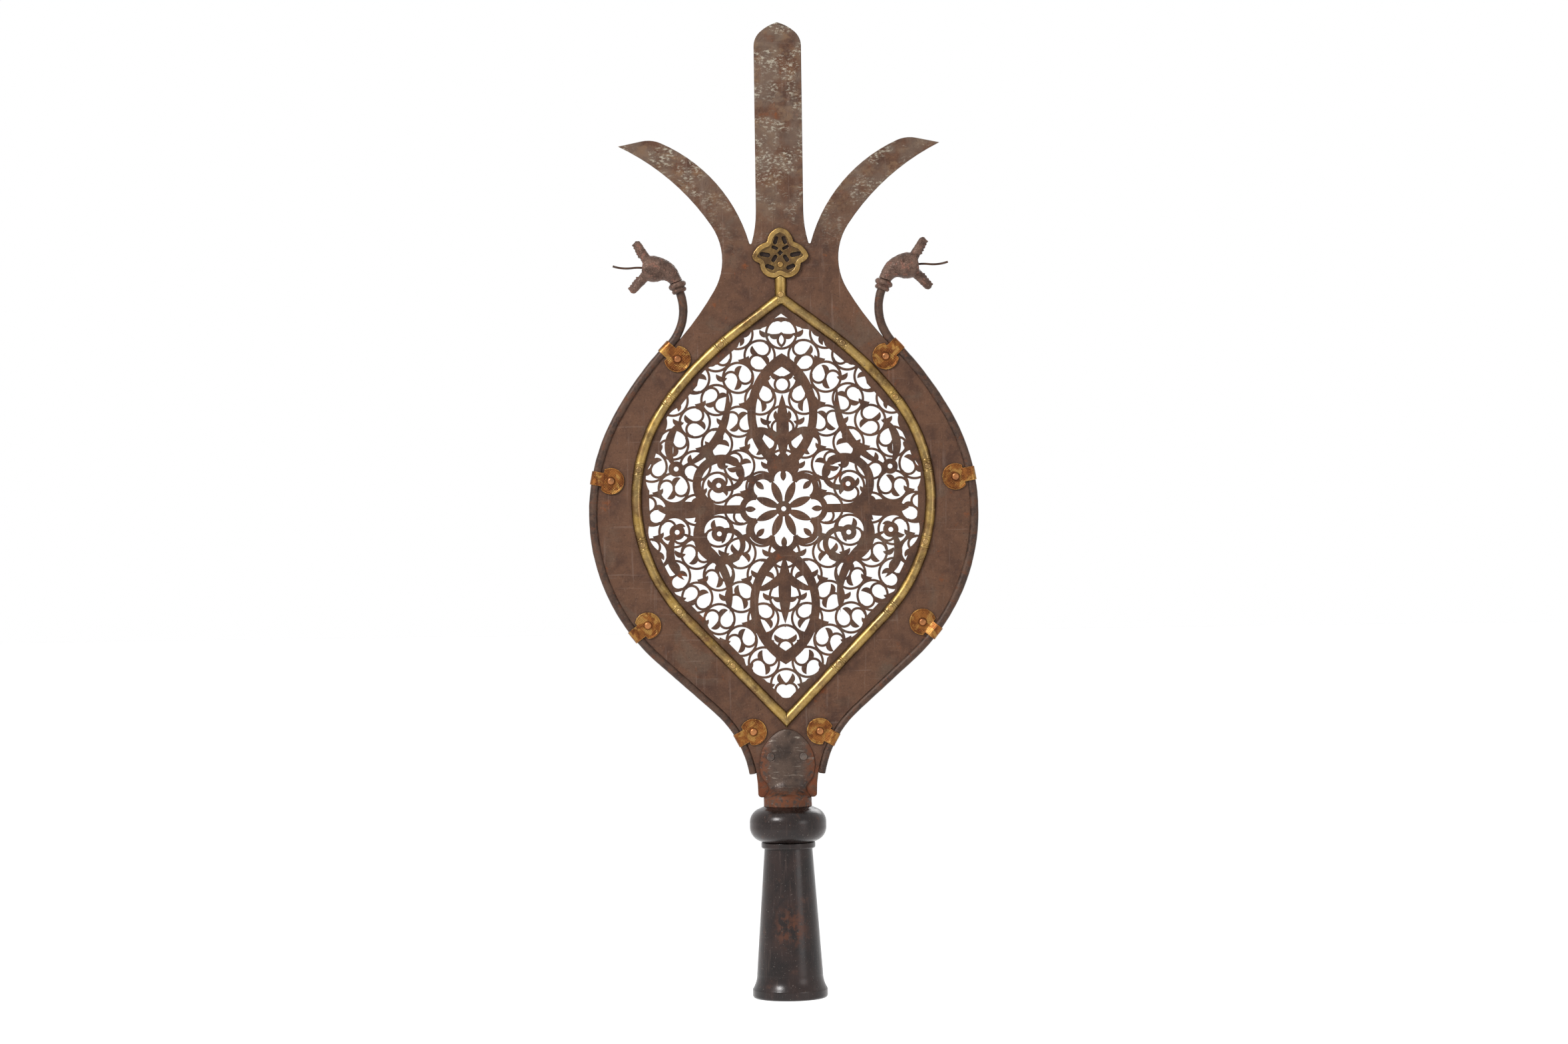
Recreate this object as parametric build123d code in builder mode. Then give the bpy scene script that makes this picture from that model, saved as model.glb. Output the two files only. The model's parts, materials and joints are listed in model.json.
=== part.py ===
from build123d import *
import math
import os

# Pierced steel processional standard head: a pear-shaped steel plate with a sword blade and two
# horns above, a pierced panel framed in brass, two iron rods that end in dragon heads, and a
# forged socket for a wooden pole.
# Frame: origin at the centre of the socket mouth, +Z up the blade, the front faces -Y, millimetres.

# Plate
sheet = 2.5                    # thickness of the plate and of the pierced panel
widest_height = 400.0
body_half_width = 154.5
side_radius = 162.0            # edge above the widest point
side_turn = 29.0               # degrees
shoulder_radius = 282.0
shoulder_turn = 15.0
hollow_radius = 248.0          # concave edge below the waist
hollow_turn = 13.6
waist_radius = 50.5
waist_turn = 64.2
horn_radius = 194.0            # outer edge of the horn
horn_turn = 30.2
horn_tip_length = 27.0         # drooping end of the horn
horn_tip_rise = 5.6
horn_crest_round = 26.0
horn_inner_radius = 129.5
belly_radius = 157.6           # edge below the widest point
belly_turn = 47.6
foot_radius = 95.0
lug_half_width = 24.3          # lower corner of the plate, above the neck
lug_round = 3.0
plate_chamfer = 0.4

# Sword blade
notch_height = 620.0           # bottom of the cut between blade and horn
notch_round = 1.0
flare_radius = 94.0
flare_turn = 18.6
blade_half_width = 19.6
blade_tip = 805.5
blade_point_height = 19.7
blade_shoulder_radius = 16.0
blade_shoulder_turn = 48.0
blade_nose_radius = 35.0

# Almond window, drawn along the ridge of its brass moulding
window_height = 412.0
window_half_width = 121.5
window_side_radius = 136.0
window_side_turn = 37.5
window_shoulder_radius = 290.0
window_shoulder_turn = 15.9
window_foot_radius = 140.0
window_foot_turn = 43.9
seam_inset = 1.8               # the seam of plate and panel lies inside the ridge
seam_gap = 0.15

# Brass moulding
moulding_width = 9.0
moulding_rise = 3.8
stem_width = 10.0
stem_length = 16.0
band_length = 1.3              # raised ring beside each nail
band_rise = 0.7
band_spacing = 4.6
nails_per_side = 6
nail_radius = 1.0
nail_head_radius = 2.5
nail_head_rise = 1.3
apex_nail_rise = 2.5           # above the point where the two mouldings meet

# Pierced scroll ground of the panel
stem = 2.0                     # width of the thin stems
scroll_pitch = 25.6
scroll_lap = 1.3               # how far neighbouring rings run into each other
scroll_twist = 130             # degrees that each scroll is turned against the one beside it
row_twist = 75
bud_twist = 20
bud_length = 9.5
bud_width = 4.8
least_outline = 11.0           # openings with a shorter edge than this are left solid
border_inset = 10.5
border_lobe_radius = 19.0
border_lobes_per_side = 8
border_lobe_lap = 4.0          # how far the lobes stand into the plain border

# Bold straps of the panel
strap = 7.0
eye_radius = 6.4
eye_hole_radius = 2.0
rosette_lobes = 8
rosette_radius = 24.0
rosette_lobe_radius = 12.5
rosette_band = 5.0
cartouche_length = 92.0
cartouche_half_width = 29.0
volute_radius = 21.0
spray_inset = 30.0
spray_start = 14.0             # degrees above and below the widest point
spray_length = 80.0

# Boss above the window
boss_base = 1.8
boss_rise = 3.4
boss_rim = 4.2
boss_edge_round = 1.2
boss_height = 42.0
boss_diamond = 3.4
# Right half of its edge from the top down: across, up from the middle, bulge of the run that starts
# here, rounding of the corner
boss_corners = (
    (0.0, 21.0, 2.8, 2.0),
    (11.0, 9.0, 2.4, 1.6),
    (23.6, -3.0, 1.2, 2.0),
    (17.0, -8.6, 4.4, 1.6),
    (3.4, -20.6, 0.0, 2.0),
)
boss_low = -19.0
# Slots of its right half: across, up from the middle, length, width, lean in degrees
boss_cuts = (
    (3.6, 10.4, 7.0, 3.2, 108),
    (4.4, 4.2, 5.8, 2.6, 24),
    (12.6, -1.4, 9.0, 3.6, 10),
    (4.8, -4.6, 6.6, 3.2, -58),
    (8.6, -11.6, 7.6, 3.4, 22),
)
boss_pin_drop = 9.6

# Dragon rods
rod_radius = 3.4
rod_end_radius = 2.8
rod_lap = 0.6                  # depth of the groove that seats the rod on the edge of the plate
rod_foot_turn = 38.0           # how far the rod follows the foot curve
curl_radius = 42.0
curl_turn = 64.0
tenon_length = 15.0
collar_radius = 7.6
collar_length = 9.0
collar_bead_share = 0.58        # of its length; the rest is the smaller bead
collar_small_radius = 6.3
collar_groove_radius = 5.0
neck_bend_radius = 17.0
neck_bend_turn = 64.0
snout_length = 13.8
jaw_length = 19.5
jaw_root_radius = 4.6
jaw_root_back = 3.9
jaw_tip_radius = 3.5
jaw_root_spread = 5.6          # from the line of the mouth
jaw_spread = 54.0              # degrees from the line of the mouth
teeth_per_jaw = 5
tooth_radius = 1.2
head_eye_radius = 2.2
head_eye_rise = 4.0            # above the middle line of the head
head_eye_reach = 8.9          # to the front and to the back
tongue_radius = 0.9
tongue_root = 6.0
tongue_bend_radius = 36.0
tongue_bend_turn = 13.0
fit = 0.1                      # clearance of pins and tenons in their holes

# Clips that hold the rods
clip_reach = 12.4              # from the rivet to the middle of the rod
clip_disc_radius = 11.0
clip_disc = 1.1
clip_rim = 1.3
clip_rim_rise = 0.5
clip_cut = 7.0                 # from the rivet to the straight side of the disc
clip_strap_width = 11.5
clip_strap = 0.9
clip_clearance = 0.25
rivet_radius = 2.0
rivet_head_radius = 3.3
rivet_head_rise = 2.2

# Socket
mouth_rim_radius = 31.0
mouth_rim_height = 7.5
mouth_rim_round = 2.5
flare_top = 20.0
socket_radius = 27.3           # outside, where the flare ends
socket_top_radius = 19.8
bore_radius = 24.5
bore_length = 20.0
web_thickness = 11.5
hollow_top_radius = 16.8
ring_radius = 22.3
ring_length = 5.5
ring_round = 1.5
knop_radius = 31.6
knop_length = 29.0
knop_flat = 4.0
knop_round = 12.0
knop_round_turn = 63.0
neck_radius = 19.8
neck_length = 7.5
shank_radius = 7.0
washer_radius = 13.5
washer_thickness = 2.5
peen_radius = 10.5
peen_rise = 4.0
leaf_height = 56.0
leaf_half_width = 22.8
leaf_rivet_height = 33.5
leaf_rivet_reach = 13.5
leaf_rivet_rise = 0.9
leaf_edge = 1.1                # thickness of its rim
knop_sag = 0.5                 # the widest part lies this much below the middle
mouth_flare_radius = 22.0

# Heights of the socket pieces, from the mouth up
socket_length = 123.5
ring_top = socket_length + ring_length
knop_top = ring_top + knop_length
neck_top = knop_top + neck_length
face = sheet / 2
front_plane = Plane.XZ

os.makedirs("parts", exist_ok=True)


def save(name, piece):
    """Label one finished piece and write it under its name."""
    piece.label = name
    export_step(piece, f"parts/{name}.step")


def upper_edge(offset):
    """Right edge of the pear above its widest point, moved outward."""
    side = JernArc((body_half_width + offset, widest_height), (0, 1), side_radius + offset, side_turn)
    shoulder = JernArc(side @ 1, side % 1, shoulder_radius + offset, shoulder_turn)
    return [side, shoulder]


def lower_edge(offset):
    """Right edge of the pear below its widest point, moved outward: belly, straight run, foot."""
    belly = JernArc((body_half_width + offset, widest_height), (0, -1), belly_radius + offset, -belly_turn)
    turn = math.radians(belly_turn)
    heel_radius = foot_radius - offset
    run_end = lug_half_width + offset + heel_radius * (1 - math.cos(turn))
    run_length = ((belly @ 1).X - run_end) / math.sin(turn)
    run = Line(belly @ 1, belly @ 1 + (belly % 1) * run_length)
    foot = JernArc(run @ 1, run % 1, heel_radius, belly_turn)
    return [belly, run, foot]


def to_axis(curve):
    """Where the straight end of a curve, run on, meets the middle line of the plate."""
    end = curve @ 1
    heading = curve % 1
    return end - heading * (end.X / heading.X)


def rivet(plane, x, y, grip, shank, head, rise):
    """A rivet through the plate: a shank as long as its grip and a rounded head at each end."""
    with BuildPart() as pin:
        with BuildSketch(plane):
            with Locations((x, y)):
                Circle(shank)
        extrude(amount=grip / 2, both=True)
        for hand in (-1, 1):
            with BuildSketch(plane.offset(hand * grip / 2)):
                with Locations((x, y)):
                    Circle(head)
            extrude(amount=hand * rise)
        outer_rims = pin.edges().filter_by(GeomType.CIRCLE).sort_by(Axis(plane.origin, plane.z_dir))
        fillet([outer_rims[0], outer_rims[-1]], rise * 0.9)
    return pin.part


# Ridge line of the moulding, right half
with BuildLine() as ridge:
    window_side = JernArc((window_half_width, window_height), (0, 1), window_side_radius, window_side_turn)
    window_shoulder = JernArc(window_side @ 1, window_side % 1, window_shoulder_radius, window_shoulder_turn)
    window_apex = to_axis(window_shoulder)
    Line(window_shoulder @ 1, window_apex)
    window_belly = JernArc((window_half_width, window_height), (0, -1), window_foot_radius, -window_foot_turn)
    window_toe = to_axis(window_belly)
    Line(window_belly @ 1, window_toe)
ridge_wire = ridge.wires()[0]
window_middle = (window_apex.Y + window_toe.Y) / 2
nail_shares = [(k + 1) / (nails_per_side + 1) for k in range(nails_per_side)]
nail_spots = [ridge_wire @ share for share in nail_shares]

# Clip positions on the middle line of the rod, right side
rod_offset = rod_radius - rod_lap
with BuildLine() as rod_guide:
    guide_side, guide_shoulder = upper_edge(rod_offset)
    guide_belly, guide_run, guide_foot = lower_edge(rod_offset)
clip_places = {
    "top": (guide_shoulder, 0.95, rod_radius),
    "middle": (guide_side, 0.37, rod_radius),
    "lower": (guide_belly, 0.80, rod_radius),
    "bottom": (guide_foot, 0.40, rod_end_radius),
}


def clip_plane(curve, share):
    """Plane at a place on the rod: x points away from the plate and z to the front."""
    point = curve @ share
    heading = curve % share
    outward = Vector(heading.Y, 0, -heading.X)
    if outward.X < 0:
        outward = -outward
    return Plane(origin=(point.X, 0, point.Y), x_dir=outward, z_dir=(0, -1, 0))


clip_planes = {name: clip_plane(curve, share) for name, (curve, share, _) in clip_places.items()}

clip_rivet_spots = []
for plane in clip_planes.values():
    rivet_point = plane.origin - plane.x_dir * clip_reach
    clip_rivet_spots += [(rivet_point.X, rivet_point.Z), (-rivet_point.X, rivet_point.Z)]
leaf_rivet_spots = [(side * leaf_rivet_reach, neck_top + leaf_rivet_height) for side in (-1, 1)]
apex_nail_spot = Vector(0, window_apex.Y + apex_nail_rise)
both_nail_spots = nail_spots + [Vector(-spot.X, spot.Y) for spot in nail_spots] + [apex_nail_spot]
boss_middle = window_apex.Y + stem_length + boss_height / 2
boss_pin_spot = (0, boss_middle - boss_pin_drop)

# Plate
with BuildPart() as plate:
    with BuildSketch(front_plane) as pear:
        with BuildLine():
            side, shoulder = upper_edge(0)
            hollow = JernArc(shoulder @ 1, shoulder % 1, hollow_radius, -hollow_turn)
            waist = JernArc(hollow @ 1, hollow % 1, waist_radius, -waist_turn)
            horn = JernArc(waist @ 1, waist % 1, horn_radius, -horn_turn)
            horn_crest = horn @ 1 + Vector(-horn_tip_length, horn_tip_rise)
            Line(horn @ 1, horn_crest)
            flare_start = notch_height + flare_radius * math.sin(math.radians(flare_turn))
            flare = JernArc((blade_half_width, flare_start), (0, -1), flare_radius, flare_turn)
            RadiusArc(flare @ 1, horn_crest, horn_inner_radius)
            blade_line = Line(flare @ 0, (blade_half_width, blade_tip - blade_point_height))
            blade_turn = JernArc(blade_line @ 1, (0, 1), blade_shoulder_radius, blade_shoulder_turn)
            RadiusArc(blade_turn @ 1, (0, blade_tip), -blade_nose_radius)
            belly, run, foot = lower_edge(0)
            Polyline(foot @ 1, (lug_half_width, neck_top), (0, neck_top))
            mirror(about=Plane.YZ)
        make_face()
        fillet([v for v in vertices() if abs(v.Y - horn_crest.Y) < 0.01], horn_crest_round)
        fillet([v for v in vertices() if abs(v.Y - neck_top) < 0.01 and abs(v.X) > 1], lug_round)
        notch_x = (flare @ 1).X
        low_corners = [v for v in vertices() if abs(v.Y - notch_height) < 0.01]
        fillet([v for v in low_corners if abs(abs(v.X) - notch_x) < 0.01], notch_round)
    extrude(amount=face, both=True)
    with BuildSketch(front_plane) as window_cut:
        with BuildLine():
            add(ridge.line)
            mirror(about=Plane.YZ)
        make_face()
        offset(amount=-seam_inset, kind=Kind.INTERSECTION)
    extrude(amount=sheet, both=True, mode=Mode.SUBTRACT)
    chamfer(plate.faces().filter_by(Axis.Y).sort_by(Axis.Y)[0].outer_wire().edges(), plate_chamfer)
    chamfer(plate.faces().filter_by(Axis.Y).sort_by(Axis.Y)[-1].outer_wire().edges(), plate_chamfer)
    with BuildSketch(front_plane):
        with Locations(*clip_rivet_spots, *leaf_rivet_spots):
            Circle(rivet_radius + fit)
        with Locations(*both_nail_spots, boss_pin_spot):
            Circle(nail_radius + fit)
    extrude(amount=sheet, both=True, mode=Mode.SUBTRACT)
save("plate", plate.part)


def leaf(length, width, back):
    """A curved half leaf along x from the origin, bellied to one side."""
    with BuildSketch(mode=Mode.PRIVATE) as blade:
        with BuildLine():
            SagittaArc((0, 0), (length, 0), -width)
            SagittaArc((0, 0), (length, 0), -back)
        make_face()
    return blade.sketch


def lens(length, width):
    """A leaf pointed at both ends, along x from the origin."""
    return leaf(length, width / 2, -width / 2)


def bow(centre, radius, start, size, width):
    """A round-ended strap along an arc, from its start angle."""
    with BuildLine(mode=Mode.PRIVATE) as path:
        CenterArc(centre, radius, start, size)
    with BuildSketch(mode=Mode.PRIVATE) as band:
        SlotArc(path.edges()[0], width)
    return band.sketch


def outline(inset):
    """The almond inside the ridge line."""
    with BuildSketch(mode=Mode.PRIVATE) as almond:
        with BuildLine():
            add(ridge.line)
            mirror(about=Plane.YZ)
        make_face()
        offset(amount=-inset, kind=Kind.INTERSECTION)
    return almond.sketch


# One scroll of the fine ground: a ring, an S-shaped stem across it and two buds
ring_mid = (scroll_pitch + scroll_lap - stem) / 2
half_s = (ring_mid - stem / 4) / 2
with BuildSketch() as scroll:
    Circle(ring_mid + stem / 2)
    Circle(ring_mid - stem / 2, mode=Mode.SUBTRACT)
    with BuildLine(mode=Mode.PRIVATE) as s_curve:
        CenterArc((half_s, 0), half_s, 0, 180)
        CenterArc((-half_s, 0), half_s, 180, 180)
    SlotArc(s_curve.wires()[0], stem)
    with Locations(Location((-stem / 4, stem / 4), 118), Location((stem / 4, -stem / 4), 298)):
        add(leaf(bud_length, bud_width, stem / 4))

# Scrolls stand in a staggered lattice, each row turned against the next
step = scroll_pitch / math.sqrt(2)
columns = math.ceil(window_half_width / step)
rows = math.ceil((window_apex.Y - window_toe.Y) / 2 / step)
window_face = outline(seam_inset + seam_gap)
reach_face = outline(-ring_mid / 2).face()
scroll_places = []
bud_places = []
for column in range(columns + 1):
    for row in range(-rows, rows + 1):
        place = Vector(column * step, window_middle + row * step)
        if not reach_face.is_inside(place):
            continue
        if (column + row) % 2 == 0:
            scroll_places.append(Location(place, scroll_twist * column + row_twist * row))
        else:
            bud_places.append(Location(place - Vector(step / 2, 0), bud_twist * (-1) ** row))

# The lobed edge of the open field
border_ridge = outline(border_inset + border_lobe_radius - border_lobe_lap).wires()[0]
border_lobes = 2 * border_lobes_per_side
lobe_places = [border_ridge @ ((k + 0.5) / border_lobes) for k in range(border_lobes)]
with BuildSketch() as field:
    add(outline(border_inset))
    with Locations(*lobe_places):
        Circle(border_lobe_radius)

with BuildSketch() as border:
    add(window_face)
    add(field.sketch, mode=Mode.SUBTRACT)

# Fine ground: scrolls and the buds between them
with BuildSketch() as ground:
    with Locations(*scroll_places):
        add(scroll.sketch)
    with Locations(*bud_places):
        add(leaf(bud_length, bud_width, stem / 4))

# Central rosette
middle = (0, window_middle)
with BuildSketch() as rosette:
    with Locations(middle):
        Circle(rosette_radius + rosette_band)
        with PolarLocations(rosette_radius, rosette_lobes):
            Circle(rosette_lobe_radius)
        Circle(rosette_radius, mode=Mode.SUBTRACT)
        with PolarLocations(rosette_radius, rosette_lobes):
            Circle(rosette_lobe_radius - rosette_band, mode=Mode.SUBTRACT)
        with PolarLocations(eye_radius / 2, rosette_lobes, start_angle=180 / rosette_lobes):
            add(lens(rosette_radius - eye_radius / 2 + 1, strap))
        with PolarLocations(rosette_radius + rosette_lobe_radius - rosette_band + 1, rosette_lobes):
            add(lens(-bud_length, bud_width))
        Circle(eye_radius)
rosette_edge = rosette_radius + rosette_lobe_radius

# Pointed cartouches above and below the rosette, each with a split palmette inside
with BuildSketch() as cartouche:
    long_bow = cartouche_length + strap
    add(lens(long_bow, 2 * cartouche_half_width))
    with Locations((1.6 * strap, 0)):
        add(lens(long_bow - 3.2 * strap, 2 * (cartouche_half_width - strap)), mode=Mode.SUBTRACT)
    with Locations((1.2 * strap, 0)):
        add(lens(cartouche_length * 0.62, 1.5 * strap))
    for hand in (-1, 1):
        with Locations(Location((cartouche_length * 0.2, 0), 52 * hand)):
            add(leaf(cartouche_length * 0.3, hand * strap * 1.3, hand * strap * 0.25))

cartouche_up = cartouche.sketch.moved(Location((0, window_middle + rosette_edge - strap), 90))
cartouche_down = cartouche.sketch.moved(Location((0, window_middle - rosette_edge + strap), -90))

# Spiral volutes and a pointed leaf beside the rosette
volute_x = rosette_edge + 2 * strap
inner_radius = volute_radius * 0.56
shift = volute_radius - inner_radius
eye_places = [middle]
with BuildSketch() as volutes:
    with Locations((rosette_edge - strap, window_middle)):
        Rectangle(3 * strap, strap, align=(Align.MIN, Align.CENTER))
    for hand in (-1, 1):
        heart = (volute_x, window_middle + hand * volute_radius)
        add(bow(heart, volute_radius, -90 * hand, 210 * hand, strap))
        turned = math.radians(120 * hand)
        inner = (heart[0] + shift * math.cos(turned), heart[1] + shift * math.sin(turned))
        add(bow(inner, inner_radius, 120 * hand, 190 * hand, 0.65 * strap))
        ending = math.radians(310 * hand)
        tip = (inner[0] + inner_radius * math.cos(ending), inner[1] + inner_radius * math.sin(ending))
        with Locations(tip):
            Circle(eye_radius)
        eye_places.append(tip)
    with Locations((volute_x + strap, window_middle)):
        add(lens(volute_radius * 2.2, 2 * strap))

# Split leaves that follow the border in the four corners: a long crescent and two shorter ones
with BuildSketch() as sprays:
    upper_hub = (window_half_width - window_side_radius, window_height)
    lower_hub = (window_half_width - window_foot_radius, window_height)
    for hub, radius, hand in ((upper_hub, window_side_radius, 1), (lower_hub, window_foot_radius, -1)):
        reach = radius - spray_inset
        start = math.radians(spray_start * hand)
        root = (hub[0] + reach * math.cos(start), hub[1] + reach * math.sin(start))
        for heading, length, belly in ((122, 1.0, 0.24), (98, 0.5, -0.3)):
            span = length * spray_length
            with Locations(Location(root, heading * hand)):
                add(leaf(span, -hand * belly * span, -hand * (belly * span - math.copysign(strap, belly))))
        with Locations(root):
            Circle(eye_radius)
        eye_places.append(root)

# The right half is cut to shape first, then mirrored
with BuildSketch() as right_window:
    add(window_face)
    with Locations(middle):
        Rectangle(window_half_width, 2 * window_apex.Y, align=(Align.MAX, Align.CENTER), mode=Mode.SUBTRACT)
with BuildSketch() as pattern:
    add([ground.sketch, volutes.sketch, sprays.sketch, border.sketch])
    with Locations(middle):
        Circle(rosette_edge - rosette_band, mode=Mode.SUBTRACT)
    add([cartouche_up, cartouche_down, rosette.sketch])
    with Locations(*eye_places):
        Circle(eye_hole_radius, mode=Mode.SUBTRACT)
    add(right_window.sketch, mode=Mode.INTERSECT)
    mirror(about=Plane.YZ)
lace = pattern.faces().sort_by(SortBy.AREA)[-1]
openings = [wire for wire in lace.inner_wires() if wire.length > least_outline]
panel_face = Face(lace.outer_wire(), openings)

# Pierced panel
with BuildPart() as panel:
    with BuildSketch(front_plane.offset(-face)):
        add(panel_face)
    extrude(amount=sheet, clean=False)
save("pierced_panel", panel.part)


def in_front(point, depth=face):
    """A place in the plate's drawing, brought to the front of the plate."""
    return Vector(point.X, -depth, point.Y)


def stand(curve, share, depth=0.0):
    """Plane square to a curve of the plate's drawing, its y to the front."""
    heading = in_front(curve % share, 0)
    return Plane(origin=in_front(curve @ share, depth), x_dir=Vector(0, -1, 0).cross(heading), z_dir=heading)


def half_round(width, rise):
    """Half-round section, flat side on the plate."""
    with BuildSketch(mode=Mode.PRIVATE) as section:
        with BuildLine():
            ThreePointArc((-width / 2, 0), (0, rise), (width / 2, 0))
            Line((width / 2, 0), (-width / 2, 0))
        make_face()
    return section.sketch


def lift(curve_edges, depth):
    """A path in the plate's drawing, brought to the front of the plate."""
    return Wire([front_plane.from_local_coords(edge) for edge in curve_edges]).moved(Location((0, -depth, 0)))


# Boss outline: five lobes, pointed above and at the sides
with BuildSketch(front_plane) as boss_outline:
    with BuildLine():
        for here, after in zip(boss_corners, boss_corners[1:]):
            start, end = [(corner[0], boss_middle + corner[1]) for corner in (here, after)]
            SagittaArc(start, end, here[2])
        Line((boss_corners[-1][0], boss_middle + boss_corners[-1][1]), (0, boss_middle + boss_low))
        mirror(about=Plane.YZ)
    make_face()
    for across, up, _, rounding in boss_corners:
        level = [v for v in vertices() if abs(v.Y - boss_middle - up) < 0.01]
        fillet([v for v in level if abs(abs(v.X) - across) < 0.01], rounding)

# Stem from the window's apex up to the boss
stem_low = window_apex.Y - stem_width / 2
with BuildPart() as stem_run:
    with BuildSketch(Plane.XY.offset(stem_low)):
        with Locations((0, -face)):
            add(half_round(stem_width, -moulding_rise))
    extrude(amount=boss_middle - stem_low)
    with BuildSketch(front_plane):
        add(boss_outline.sketch_local)
        offset(amount=fit)
    extrude(amount=sheet + boss_rise, mode=Mode.SUBTRACT)

# Half-round run down the right side, longer than the ridge so that its ends can be mitred
ridge_edges = ridge.edges().sort_by(Axis.Y)
with BuildLine(mode=Mode.PRIVATE) as run_ends:
    Line(window_toe, window_toe - (window_belly @ 1 - window_toe).normalized() * moulding_width)
    Line(window_apex, window_apex - (window_shoulder @ 1 - window_apex).normalized() * moulding_width)
toe_end, apex_end = run_ends.edges().sort_by(Axis.Y)
with BuildPart() as side_run:
    with BuildSketch(stand(toe_end, 1, face)):
        add(half_round(moulding_width, moulding_rise))
    sweep(path=lift([toe_end, *ridge_edges, apex_end], face))
    for share in nail_shares:
        for along in (-1, 1):
            place = stand(ridge_wire, share, face)
            with BuildSketch(place.offset(along * band_spacing)):
                add(half_round(moulding_width, moulding_rise + band_rise))
            extrude(amount=band_length / 2, both=True)
    with BuildSketch(front_plane):
        with Locations(*nail_spots):
            Circle(nail_radius + fit)
    extrude(amount=2 * (face + moulding_rise), mode=Mode.SUBTRACT)
    split(bisect_by=Plane.YZ, keep=Keep.TOP)

with BuildPart() as moulding_front_right:
    add(side_run.part)
    add(stem_run.part)
    with BuildSketch(front_plane):
        with Locations(apex_nail_spot):
            Circle(nail_radius + fit)
    extrude(amount=2 * (face + moulding_rise), mode=Mode.SUBTRACT)
with BuildPart() as moulding_front_left:
    mirror(side_run.part, about=Plane.YZ)
    add(stem_run.part, mode=Mode.SUBTRACT)
with BuildPart() as moulding_back_right:
    mirror(moulding_front_right.part, about=Plane.XZ)
with BuildPart() as moulding_back_left:
    mirror(moulding_front_left.part, about=Plane.XZ)
save("moulding_front_right", moulding_front_right.part)
save("moulding_front_left", moulding_front_left.part)
save("moulding_back_right", moulding_back_right.part)
save("moulding_back_left", moulding_back_left.part)

# Nails through both mouldings and the plate
nail_grip = sheet + 2 * moulding_rise
with BuildPart() as moulding_nails:
    for spot in both_nail_spots:
        add(rivet(front_plane, spot.X, spot.Y, nail_grip, nail_radius, nail_head_radius, nail_head_rise))
save("moulding_nails", moulding_nails.part)

# Pierced boss with a raised rounded rim
with BuildPart() as boss_front:
    with BuildSketch(front_plane.offset(face)):
        add(boss_outline.sketch_local)
    extrude(amount=boss_base)
    with BuildSketch(front_plane.offset(face + boss_base)):
        add(boss_outline.sketch_local)
        offset(amount=-boss_rim, mode=Mode.SUBTRACT)
    extrude(amount=boss_rise - boss_base)
    fillet(boss_front.faces().sort_by(Axis.Y)[0].outer_wire().edges(), boss_edge_round)
    with BuildSketch(front_plane):
        for across, up, length, width, lean in boss_cuts:
            for hand in (-1, 1):
                with Locations(Location((hand * across, boss_middle + up), hand * lean)):
                    SlotOverall(length, width)
        with Locations(Location((0, boss_middle), 45)):
            Rectangle(boss_diamond, boss_diamond)
        with Locations(boss_pin_spot):
            Circle(nail_radius + fit)
    extrude(amount=sheet + boss_rise, mode=Mode.SUBTRACT)
save("boss_front", boss_front.part)
with BuildPart() as boss_back:
    mirror(boss_front.part, about=Plane.XZ)
save("boss_back", boss_back.part)
boss_grip = sheet + 2 * boss_base
boss_pin = rivet(front_plane, *boss_pin_spot, boss_grip, nail_radius, nail_head_radius, nail_head_rise)
save("boss_pin", boss_pin)

# Clips: a disc on each side of the plate, joined by a strap round the rod
clip_rivets = []
for name, plane in clip_planes.items():
    inner = clip_places[name][2] + clip_clearance
    outer = inner + clip_strap
    leg = clip_cut - clip_reach
    with BuildPart() as clip:
        with BuildSketch(Plane(origin=plane.origin, x_dir=plane.x_dir, z_dir=plane.y_dir)):
            for radius, half, mode in ((outer, face + clip_disc, Mode.ADD), (inner, face, Mode.SUBTRACT)):
                with BuildSketch(mode=Mode.PRIVATE) as loop:
                    Circle(radius)
                    with Locations((leg, 0)):
                        Rectangle(clip_strap, 2 * half, align=(Align.MAX, Align.CENTER))
                    make_hull()
                add(loop.sketch, mode=mode)
        extrude(amount=clip_strap_width / 2, both=True)
        for height, rim in ((clip_disc, clip_disc_radius), (clip_disc + clip_rim_rise, clip_rim)):
            with BuildSketch(plane.offset(face)) as disc:
                with Locations((-clip_reach, 0)):
                    Circle(clip_disc_radius)
                    if rim < clip_disc_radius:
                        Circle(clip_disc_radius - rim, mode=Mode.SUBTRACT)
                with Locations((leg, 0)):
                    to_right = (Align.MIN, Align.CENTER)
                    Rectangle(clip_reach, 2 * clip_disc_radius, align=to_right, mode=Mode.SUBTRACT)
            extrude(amount=height)
            with BuildSketch(plane.offset(-face)):
                add(disc.sketch_local)
            extrude(amount=-height)
        with BuildSketch(plane):
            with Locations((-clip_reach, 0)):
                Circle(rivet_radius + fit)
        extrude(amount=sheet + clip_disc, both=True, mode=Mode.SUBTRACT)
    grip = sheet + 2 * clip_disc
    clip_rivets.append(rivet(plane, -clip_reach, 0, grip, rivet_radius, rivet_head_radius, rivet_head_rise))
    with BuildPart() as clip_left:
        mirror(clip.part, about=Plane.YZ)
    save(f"clip_right_{name}", clip.part)
    save(f"clip_left_{name}", clip_left.part)
with BuildPart() as rivet_group:
    add(clip_rivets)
    mirror(clip_rivets, about=Plane.YZ)
save("clip_rivets", rivet_group.part)

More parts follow.
